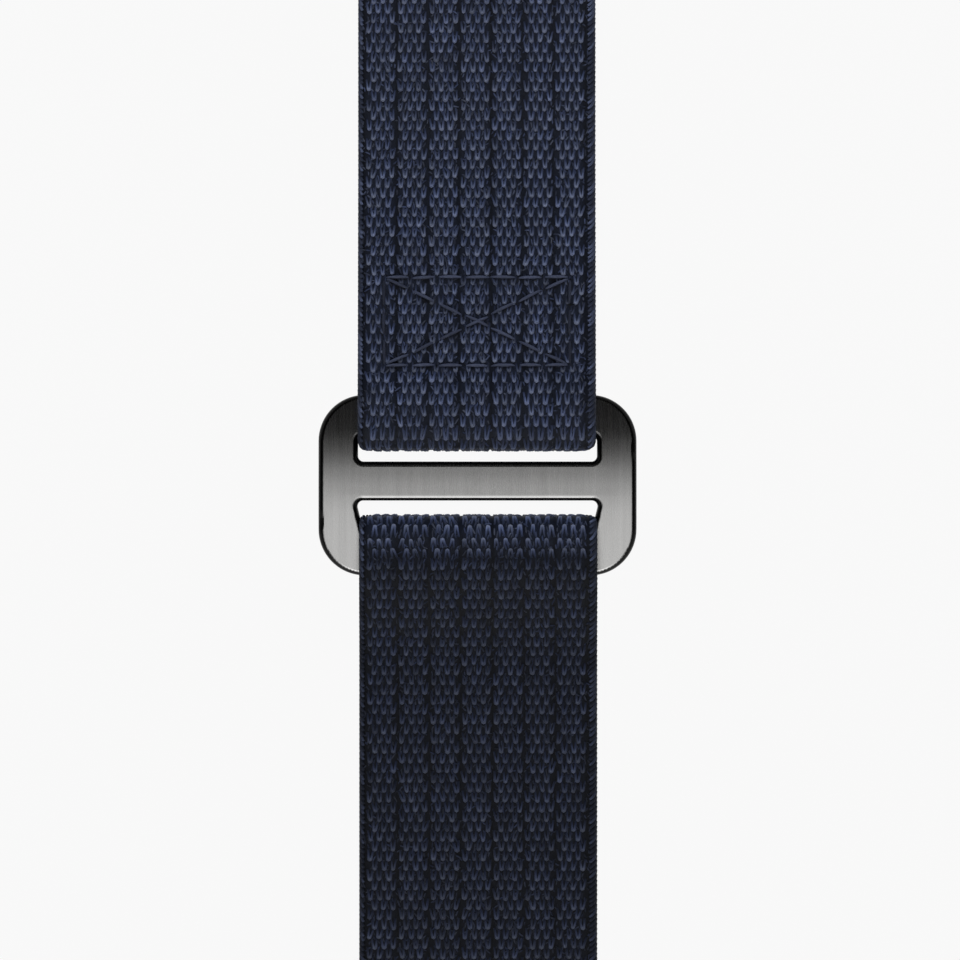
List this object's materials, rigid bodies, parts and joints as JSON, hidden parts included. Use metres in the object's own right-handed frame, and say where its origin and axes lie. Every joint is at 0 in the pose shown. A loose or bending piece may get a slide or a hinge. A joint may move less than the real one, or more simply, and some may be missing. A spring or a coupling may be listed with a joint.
{
  "type": "fitness tracker band",
  "caption": "Woven navy wrist strap in two halves joined by a two-slot bowed metal buckle, with quick-release spring bars in its sewn ends.",
  "frame": {"origin": "on the surface that the open band lies on, under the centre of the buckle", "axes": "+Y along the band towards the sewn half, +X across it, +Z out of its outer face"},
  "size_m": [0.0336, 0.16, 0.006],
  "materials": {
    "gunmetal": "brushed, dark gunmetal coating",
    "webbing": "woven navy webbing",
    "thread": "bonded sewing thread",
    "hook_tape": "moulded micro hooks",
    "loop_tape": "brushed loop pile",
    "pin_steel": "turned stainless steel",
    "spring_steel": "drawn wire"
  },
  "bodies": {
    "buckle": {"buckle_frame": "gunmetal"},
    "upper_loop": {"upper_buckle_loop": "webbing", "box_stitch": "thread"},
    "upper_segment_1": {"upper_webbing_1": "webbing"},
    "upper_segment_2": {"upper_webbing_2": "webbing"},
    "upper_segment_3": {"upper_webbing_3": "webbing"},
    "upper_end": {"upper_end_loop": "webbing", "upper_end_stitch": "thread"},
    "upper_bar": {"upper_bar_tube": "pin_steel", "upper_bar_fixed_tip": "pin_steel", "upper_bar_spring": "spring_steel"},
    "upper_release": {"upper_bar_sliding_tip": "pin_steel", "upper_release_lever": "pin_steel"},
    "lower_loop": {"lower_buckle_loop": "webbing"},
    "lower_segment_1": {"lower_webbing_1": "webbing", "tail_1": "webbing", "loop_patch_1": "loop_tape"},
    "lower_segment_2": {"lower_webbing_2": "webbing", "tail_2": "webbing", "loop_patch_2": "loop_tape"},
    "lower_segment_3": {"lower_webbing_3": "webbing", "tail_3": "webbing", "loop_patch_3": "loop_tape"},
    "tail_tip": {"tail_tip": "webbing", "hook_patch": "hook_tape"},
    "lower_segment_4": {"lower_webbing_4": "webbing"},
    "lower_end": {"lower_end_loop": "webbing", "lower_end_stitch": "thread"},
    "lower_bar": {"lower_bar_tube": "pin_steel", "lower_bar_fixed_tip": "pin_steel", "lower_bar_spring": "spring_steel"},
    "lower_release": {"lower_bar_sliding_tip": "pin_steel", "lower_release_lever": "pin_steel"}
  },
  "joints": [
    {"name": "upper_swivel", "type": "hinge", "parent": "buckle", "child": "upper_loop", "pos_m": [0, 0.00734, 0.003], "axis": [-1, 0, 0], "range_deg": [-5, 20]},
    {"name": "upper_flex_1", "type": "hinge", "parent": "upper_loop", "child": "upper_segment_1", "pos_m": [0, 0.026, 0.0012], "axis": [-1, 0, 0], "range_deg": [0, 28], "stiffness_Nm_per_rad": 0.02},
    {"name": "upper_flex_2", "type": "hinge", "parent": "upper_segment_1", "child": "upper_segment_2", "pos_m": [0, 0.038, 0], "axis": [-1, 0, 0], "range_deg": [0, 28], "stiffness_Nm_per_rad": 0.02},
    {"name": "upper_flex_3", "type": "hinge", "parent": "upper_segment_2", "child": "upper_segment_3", "pos_m": [0, 0.05, 0], "axis": [-1, 0, 0], "range_deg": [0, 28], "stiffness_Nm_per_rad": 0.02},
    {"name": "upper_flex_4", "type": "hinge", "parent": "upper_segment_3", "child": "upper_end", "pos_m": [0, 0.062, 0], "axis": [-1, 0, 0], "range_deg": [0, 28], "stiffness_Nm_per_rad": 0.02},
    {"name": "upper_bar_turn", "type": "hinge", "parent": "upper_end", "child": "upper_bar", "pos_m": [0, 0.07754, 0.00246], "axis": [-1, 0, 0], "range_deg": [-12, 12]},
    {"name": "lower_swivel", "type": "hinge", "parent": "buckle", "child": "lower_loop", "pos_m": [0, -0.00721, 0.003], "axis": [1, 0, 0], "range_deg": [-5, 20]},
    {"name": "lower_flex_1", "type": "hinge", "parent": "lower_loop", "child": "lower_segment_1", "pos_m": [0, -0.018, 0], "axis": [1, 0, 0], "range_deg": [0, 24], "stiffness_Nm_per_rad": 0.02},
    {"name": "lower_flex_2", "type": "hinge", "parent": "lower_segment_1", "child": "lower_segment_2", "pos_m": [0, -0.03, 0], "axis": [1, 0, 0], "range_deg": [0, 24], "stiffness_Nm_per_rad": 0.02},
    {"name": "lower_flex_3", "type": "hinge", "parent": "lower_segment_2", "child": "lower_segment_3", "pos_m": [0, -0.042, 0], "axis": [1, 0, 0], "range_deg": [0, 24], "stiffness_Nm_per_rad": 0.02},
    {"name": "tail_peel", "type": "hinge", "parent": "lower_segment_3", "child": "tail_tip", "pos_m": [0, -0.0445, 0], "axis": [1, 0, 0], "range_deg": [0, 70], "stiffness_Nm_per_rad": 0.02},
    {"name": "lower_flex_4", "type": "hinge", "parent": "lower_segment_3", "child": "lower_segment_4", "pos_m": [0, -0.054, 0.0023], "axis": [1, 0, 0], "range_deg": [0, 24], "stiffness_Nm_per_rad": 0.02},
    {"name": "lower_flex_5", "type": "hinge", "parent": "lower_segment_4", "child": "lower_end", "pos_m": [0, -0.066, 0], "axis": [1, 0, 0], "range_deg": [0, 24], "stiffness_Nm_per_rad": 0.02},
    {"name": "lower_bar_turn", "type": "hinge", "parent": "lower_end", "child": "lower_bar", "pos_m": [0, -0.07754, 0.00246], "axis": [1, 0, 0], "range_deg": [-12, 12]},
    {"name": "upper_release_slide", "type": "slide", "parent": "upper_bar", "child": "upper_release", "axis": [-1, 0, 0], "range_m": [0, 0.0014], "stiffness_N_per_m": 1200, "springref_m": -0.001, "deforming": ["upper_bar_spring"]},
    {"name": "lower_release_slide", "type": "slide", "parent": "lower_bar", "child": "lower_release", "axis": [1, 0, 0], "range_m": [0, 0.0014], "stiffness_N_per_m": 1200, "springref_m": -0.001, "deforming": ["lower_bar_spring"]}
  ]
}
